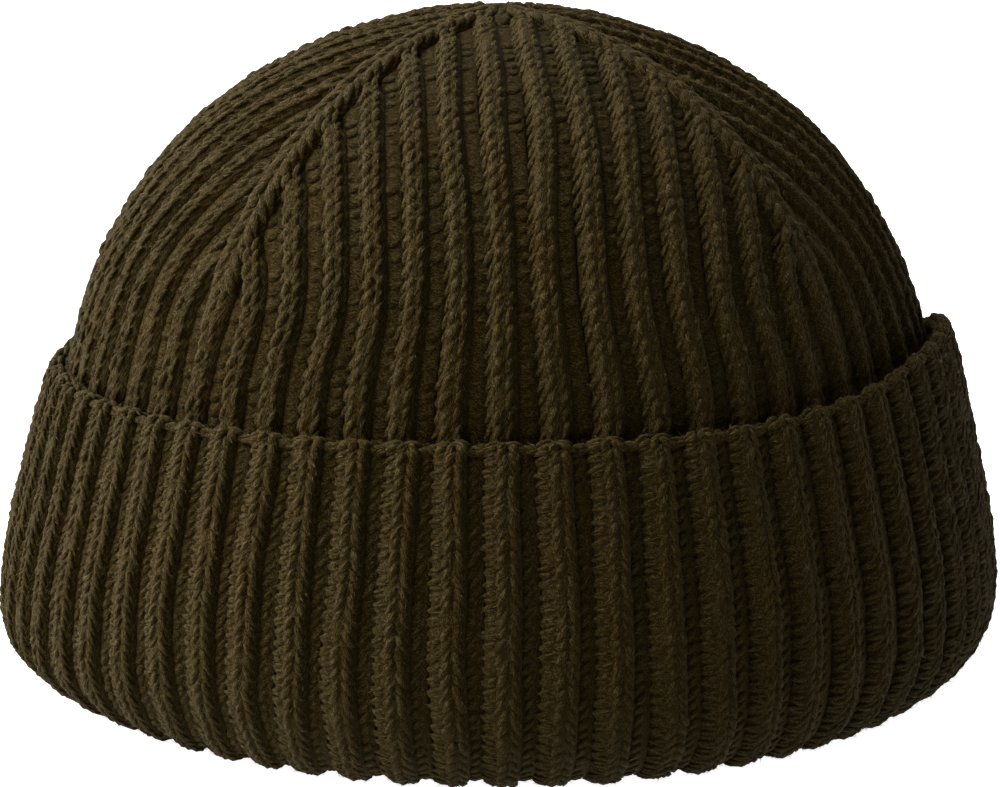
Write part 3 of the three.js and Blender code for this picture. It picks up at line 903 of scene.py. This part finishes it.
def loose_fibres(roots, count):
    """Fine straight fibre ends that leave the yarn at a low angle, as thin three-sided spikes."""
    base, outward, along, deep = (np.concatenate([part[i] for part in roots]) for i in range(4))
    weight = 1 - DEEP_FIBRE_LOSS * deep
    pick = rng.choice(len(base), count, replace=False, p=weight / weight.sum())
    base, outward, along, deep = base[pick], outward[pick], along[pick], deep[pick]
    sign = rng.choice([-1.0, 1.0], (count, 1))
    rise = outward * rng.gamma(2.0, FIBRE_RISE / 2, (count, 1))
    scatter = rng.normal(0, FIBRE_SCATTER, (count, 3))
    direction = unit(along * sign + rise + scatter)
    size = FIBRE_LENGTH * rng.uniform(*FIBRE_LENGTHS, (count, 1))
    root = base - direction * FIBRE_BACK * size - outward * FIBRE_PUSH
    tip = base + direction * size * (1 - FIBRE_BACK)
    side = unit(np.cross(direction, outward + 0.01))
    out = np.cross(side, direction)
    angle = np.arange(3) * 2 * math.pi / 3 + math.pi / 2
    ring = root[:, None, :] + FIBRE_RADIUS * (
        np.cos(angle)[None, :, None] * side[:, None, :] + np.sin(angle)[None, :, None] * out[:, None, :]
    )
    verts = np.concatenate([ring, tip[:, None, :]], axis=1).reshape(-1, 3)
    k = np.arange(3)
    k2 = (k + 1) % 3
    tris = np.concatenate([np.stack([k, k2, np.full(3, 3)], 1), [[2, 1, 0]]])
    tris = outward_faces(verts[:4], NO_QUADS, tris)[2]
    first = (np.arange(count) * 4)[:, None, None]
    yarn = np.concatenate([rng.uniform(0, YARN_PLACES, (count, 3)), deep[:, None]], axis=1)
    yarn = yarn.repeat(4, axis=0)
    return verts, NO_QUADS, (first + tris[None]).reshape(-1, 3), yarn


# Materials
# Painted shade: colour by which the yarn in the depths between the ribs is multiplied
PAINTED_DEPTH_SHADE = (0.8, 0.75, 0.58, 1)
# Colours by which slow patches of warmer and cooler yarn are multiplied, with their places on a ramp of noise
SLOW_TINTS = [(0.3, (1.07, 0.97, 0.9, 1)), (0.5, (1, 1, 1, 1)), (0.72, (0.95, 1.0, 0.96, 1))]
# Places of the dark, middle and light fibre colours on their ramp
FIBRE_STOPS = (0.41, 0.5, 0.58)
# Length, thickness and lean of the two layers of fibres, in millimetres and radians
STREAK_FIBRES = (1.5, 0.2, math.radians(14))
FINE_FIBRES = (1.1, 0.12, math.radians(-24))
# Slow patches to the metre
PATCH_SCALE = 95.0


def attribute(tree, name):
    """A value that the pieces carry at their points."""
    node = tree.nodes.new("ShaderNodeAttribute")
    node.attribute_type = "GEOMETRY"
    node.attribute_name = name
    return node


def noise(tree, vector, scale, detail, rough):
    """Grey noise from 0 to 1."""
    node = tree.nodes.new("ShaderNodeTexNoise")
    node.inputs["Scale"].default_value = scale
    node.inputs["Detail"].default_value = detail
    node.inputs["Roughness"].default_value = rough
    tree.links.new(vector, node.inputs["Vector"])
    return node.outputs["Fac"]


def fibre_layer(tree, vector, length, thickness, lean):
    """Noise drawn out into fibres that lie along the yarn, with a lean."""
    mapping = tree.nodes.new("ShaderNodeMapping")
    mapping.vector_type = "TEXTURE"
    mapping.inputs["Rotation"].default_value = (0, lean, lean)
    mapping.inputs["Scale"].default_value = (length, thickness, thickness)
    tree.links.new(vector, mapping.inputs["Vector"])
    return noise(tree, mapping.outputs["Vector"], 1.0, 1.0, 0.5)


def ramp(tree, value, stops):
    """Colour between stops, each a place from 0 to 1 and its colour."""
    node = tree.nodes.new("ShaderNodeValToRGB")
    tree.links.new(value, node.inputs["Fac"])
    elements = node.color_ramp.elements
    elements[0].position, elements[0].color = stops[0]
    elements[1].position, elements[1].color = stops[-1]
    for position, colour in stops[1:-1]:
        elements.new(position).color = colour
    return node.outputs["Color"]


def mean_of(tree, first, second):
    """Half of one value and half of another."""
    half = tree.nodes.new("ShaderNodeMath")
    half.operation = "MULTIPLY"
    half.inputs[1].default_value = 0.5
    tree.links.new(first, half.inputs[0])
    node = tree.nodes.new("ShaderNodeMath")
    node.operation = "MULTIPLY_ADD"
    node.inputs[1].default_value = 0.5
    tree.links.new(second, node.inputs[0])
    tree.links.new(half.outputs[0], node.inputs[2])
    return node.outputs[0]


def multiplied(tree, colour, factor):
    """One colour times another."""
    node = tree.nodes.new("ShaderNodeMix")
    node.data_type = "RGBA"
    node.blend_type = "MULTIPLY"
    node.inputs["Factor"].default_value = 1.0
    tree.links.new(colour, node.inputs["A"])
    tree.links.new(factor, node.inputs["B"])
    return node.outputs["Result"]


def wool(name, dark, middle, light, fibre_bump):
    """Plied yarn: fibres along each strand, slow colour changes, painted shade in the depths between the
    ribs, sheen, and a rough surface with relief.
    """
    material = bpy.data.materials.new(name)
    material.use_nodes = True
    tree = material.node_tree
    tree.nodes.clear()
    out = tree.nodes.new("ShaderNodeOutputMaterial")
    shader = tree.nodes.new("ShaderNodeBsdfPrincipled")
    tree.links.new(shader.outputs["BSDF"], out.inputs["Surface"])
    shader.inputs["Roughness"].default_value = 0.8
    shader.inputs["Specular IOR Level"].default_value = 0.2
    shader.inputs["Specular Tint"].default_value = (1.0, 0.72, 0.22, 1)
    shader.inputs["Sheen Weight"].default_value = 0.05
    shader.inputs["Sheen Roughness"].default_value = 0.45
    shader.inputs["Sheen Tint"].default_value = (0.8, 0.6, 0.22, 1)

    yarn = attribute(tree, "yarn").outputs["Vector"]
    deep = attribute(tree, "deep").outputs["Fac"]
    place = tree.nodes.new("ShaderNodeTexCoord").outputs["Object"]
    streaks = fibre_layer(tree, yarn, *STREAK_FIBRES)
    fine = fibre_layer(tree, yarn, *FINE_FIBRES)
    fibres = mean_of(tree, streaks, fine)
    slow = noise(tree, place, PATCH_SCALE, 2.0, 0.5)

    colour = ramp(tree, fibres, list(zip(FIBRE_STOPS, (dark, middle, light))))
    colour = multiplied(tree, colour, ramp(tree, slow, SLOW_TINTS))
    # Painted shade: the yarn darkens with its deepness between the ribs
    colour = multiplied(tree, colour, ramp(tree, deep, [(0.0, (1, 1, 1, 1)), (1.0, PAINTED_DEPTH_SHADE)]))
    tree.links.new(colour, shader.inputs["Base Color"])

    bump = tree.nodes.new("ShaderNodeBump")
    bump.inputs["Strength"].default_value = 0.85
    bump.inputs["Distance"].default_value = fibre_bump
    tree.links.new(fibres, bump.inputs["Height"])
    tree.links.new(bump.outputs["Normal"], shader.inputs["Normal"])
    return material


# Dark, middle and light fibres of each wool, and the depth of its fibre relief in metres
WOOL = wool(
    "olive_wool",
    (0.012, 0.0072, 0.0003, 1),
    (0.029, 0.0174, 0.0014, 1),
    (0.118, 0.088, 0.04, 1),
    0.0004,
)
# A darker copy of the olive wool, as painted shade, for the walls under the stitches and the hat's inside
SHADED_CORE_WOOL = wool(
    "shaded_inner_wool",
    (0.010, 0.0066, 0.0008, 1),
    (0.022, 0.0146, 0.0034, 1),
    (0.055, 0.038, 0.013, 1),
    0.0004,
)
# A paler copy of the olive wool for the loose fibre ends, partly the paler look of thin fibres and partly a
# painted highlight
PALE_AND_HIGHLIT_FIBRE_WOOL = wool(
    "loose_fibre",
    (0.045, 0.033, 0.011, 1),
    (0.11, 0.085, 0.04, 1),
    (0.22, 0.18, 0.1, 1),
    0.0001,
)


def finish_piece(obj, material, node):
    obj.data.materials.append(material)
    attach(obj, "root")
    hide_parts(node)


SIDES = ("front", "right", "back", "left")
for index, side in enumerate(SIDES):
    finish_piece(make_mesh(f"crown_knit_{side}", crown_panel(index)), WOOL, "crown")
for index, side in enumerate(SIDES):
    finish_piece(make_mesh(f"cuff_knit_{side}", cuff_quarter(index), floor=0.0), WOOL, "cuff")
finish_piece(make_mesh("cuff_edge_chain", cuff_edge_loops()), WOOL, "cuff")
finish_piece(make_mesh("crown_top_gather", crown_top()), WOOL, "crown")
for piece, count in (("crown", CROWN_FIBRES), ("cuff", CUFF_FIBRES)):
    fibres = loose_fibres(fibre_roots[piece], count)
    finish_piece(make_mesh(f"{piece}_loose_fibres", [fibres], floor=0.0), PALE_AND_HIGHLIT_FIBRE_WOOL, piece)
finish_piece(make_mesh("crown_wall", [crown_core()]), SHADED_CORE_WOOL, "crown")
finish_piece(make_mesh("cuff_wall", [cuff_core()], floor=0.0), SHADED_CORE_WOOL, "cuff")

# Floor, light and camera
FLOOR_REACH = 4.0
floor_mesh = bpy.data.meshes.new("floor")
floor_corners = [(x * FLOOR_REACH, y * FLOOR_REACH, 0) for x, y in ((-1, -1), (1, -1), (1, 1), (-1, 1))]
floor_mesh.from_pydata(floor_corners, [], [(0, 1, 2, 3)])
floor = bpy.data.objects.new("floor", floor_mesh)
bpy.context.collection.objects.link(floor)
floor_material = bpy.data.materials.new("pale_floor")
floor_material.use_nodes = True
floor_shader = floor_material.node_tree.nodes["Principled BSDF"]
floor_shader.inputs["Base Color"].default_value = (0.95, 0.95, 0.95, 1)
floor_shader.inputs["Roughness"].default_value = 0.9
floor_shader.inputs["Emission Color"].default_value = (1, 1, 1, 1)
floor_shader.inputs["Emission Strength"].default_value = 1.0
floor_mesh.materials.append(floor_material)
floor.visible_diffuse = False

world = bpy.data.worlds.new("studio")
bpy.context.scene.world = world
world.use_nodes = True
background = world.node_tree.nodes["Background"]
background.inputs["Color"].default_value = (1, 1, 1, 1)
background.inputs["Strength"].default_value = 0.006


def sun(name, azimuth, elevation, strength, softness):
    """A wide soft light far away. Angles are in degrees, the azimuth from the front towards +X."""
    data = bpy.data.lights.new(name, "SUN")
    data.energy = strength
    data.angle = math.radians(softness)
    light = bpy.data.objects.new(name, data)
    light.rotation_euler = (math.radians(90 - elevation), 0, math.radians(azimuth))
    bpy.context.collection.objects.link(light)


sun("key_left", -103, 35, 5.1, 80)
sun("back_left", -132, 35, 0.6, 140)
sun("fill_left", -55, 30, 0.5, 120)
sun("back_right", 135, 30, 0.4, 60)

CAMERA_DISTANCE = 0.74147
CAMERA_ELEVATION = math.radians(17.18)
CAMERA_PITCH = math.radians(13.278)
CAMERA_FOCAL_PIXELS = 3645.4
SENSOR_WIDTH = 36.0
camera_data = bpy.data.cameras.new("camera")
camera_data.sensor_fit = "HORIZONTAL"
camera_data.sensor_width = SENSOR_WIDTH
camera_data.lens = CAMERA_FOCAL_PIXELS / IMAGE_WIDTH * SENSOR_WIDTH
camera = bpy.data.objects.new("camera", camera_data)
camera.location = (
    0,
    -CAMERA_DISTANCE * math.cos(CAMERA_ELEVATION),
    CAMERA_DISTANCE * math.sin(CAMERA_ELEVATION),
)
camera.rotation_euler = (math.pi / 2 - CAMERA_PITCH, 0, 0)
bpy.context.collection.objects.link(camera)
bpy.context.scene.camera = camera
bpy.context.scene.view_settings.view_transform = "Standard"

bpy.context.view_layer.update()
